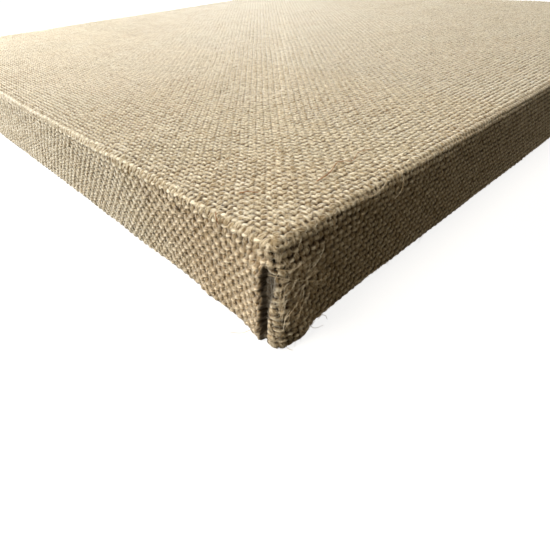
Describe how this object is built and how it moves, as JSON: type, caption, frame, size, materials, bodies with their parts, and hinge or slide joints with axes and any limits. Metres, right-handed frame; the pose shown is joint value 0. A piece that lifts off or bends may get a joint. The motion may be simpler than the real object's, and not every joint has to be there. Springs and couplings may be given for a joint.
{
  "type": "stretched canvas",
  "caption": "Square gallery-depth canvas: coarse natural jute stretched over four mitred, keyed wooden bars and stapled at the back.",
  "frame": {"origin": "centre of the panel, on the plane of its back, where the turned-under hem rests", "axes": "+Z out of the face that is painted, +X and +Y along the edges; the corner nearest the viewer in the picture is at -X -Y"},
  "size_m": [0.511, 0.511, 0.0411],
  "materials": {
    "jute": "coarse plain weave, unprimed, hairy and matte",
    "pine": "planed bare softwood",
    "beech": "sawn bare hardwood",
    "staple_steel": "galvanised wire"
  },
  "bodies": {
    "frame": {"bar_front": "pine", "bar_right": "pine", "bar_back": "pine", "bar_left": "pine", "canvas": "jute", "staple_front_01": "staple_steel", "staple_front_02": "staple_steel", "staple_front_03": "staple_steel", "staple_front_04": "staple_steel", "staple_front_05": "staple_steel", "staple_front_06": "staple_steel", "staple_front_07": "staple_steel", "staple_front_08": "staple_steel", "staple_front_09": "staple_steel", "staple_front_10": "staple_steel", "staple_front_11": "staple_steel", "staple_right_01": "staple_steel", "staple_right_02": "staple_steel", "staple_right_03": "staple_steel", "staple_right_04": "staple_steel", "staple_right_05": "staple_steel", "staple_right_06": "staple_steel", "staple_right_07": "staple_steel", "staple_right_08": "staple_steel", "staple_right_09": "staple_steel", "staple_right_10": "staple_steel", "staple_right_11": "staple_steel", "staple_back_01": "staple_steel", "staple_back_02": "staple_steel", "staple_back_03": "staple_steel", "staple_back_04": "staple_steel", "staple_back_05": "staple_steel", "staple_back_06": "staple_steel", "staple_back_07": "staple_steel", "staple_back_08": "staple_steel", "staple_back_09": "staple_steel", "staple_back_10": "staple_steel", "staple_back_11": "staple_steel", "staple_left_01": "staple_steel", "staple_left_02": "staple_steel", "staple_left_03": "staple_steel", "staple_left_04": "staple_steel", "staple_left_05": "staple_steel", "staple_left_06": "staple_steel", "staple_left_07": "staple_steel", "staple_left_08": "staple_steel", "staple_left_09": "staple_steel", "staple_left_10": "staple_steel", "staple_left_11": "staple_steel"},
    "front_key_right": {"key_front_bar_right": "beech"},
    "front_key_left": {"key_front_bar_left": "beech"},
    "right_key_back": {"key_right_bar_back": "beech"},
    "right_key_front": {"key_right_bar_front": "beech"},
    "back_key_left": {"key_back_bar_left": "beech"},
    "back_key_right": {"key_back_bar_right": "beech"},
    "left_key_front": {"key_left_bar_front": "beech"},
    "left_key_back": {"key_left_bar_back": "beech"}
  },
  "joints": [
    {"name": "front_key_right_slide", "type": "slide", "parent": "frame", "child": "front_key_right", "axis": [0, 1, 0], "range_m": [0, 0.026]},
    {"name": "front_key_left_slide", "type": "slide", "parent": "frame", "child": "front_key_left", "axis": [0, 1, 0], "range_m": [0, 0.026]},
    {"name": "right_key_back_slide", "type": "slide", "parent": "frame", "child": "right_key_back", "axis": [-1, 0, 0], "range_m": [0, 0.026]},
    {"name": "right_key_front_slide", "type": "slide", "parent": "frame", "child": "right_key_front", "axis": [-1, 0, 0], "range_m": [0, 0.026]},
    {"name": "back_key_left_slide", "type": "slide", "parent": "frame", "child": "back_key_left", "axis": [0, -1, 0], "range_m": [0, 0.026]},
    {"name": "back_key_right_slide", "type": "slide", "parent": "frame", "child": "back_key_right", "axis": [0, -1, 0], "range_m": [0, 0.026]},
    {"name": "left_key_front_slide", "type": "slide", "parent": "frame", "child": "left_key_front", "axis": [1, 0, 0], "range_m": [0, 0.026]},
    {"name": "left_key_back_slide", "type": "slide", "parent": "frame", "child": "left_key_back", "axis": [1, 0, 0], "range_m": [0, 0.026]}
  ]
}
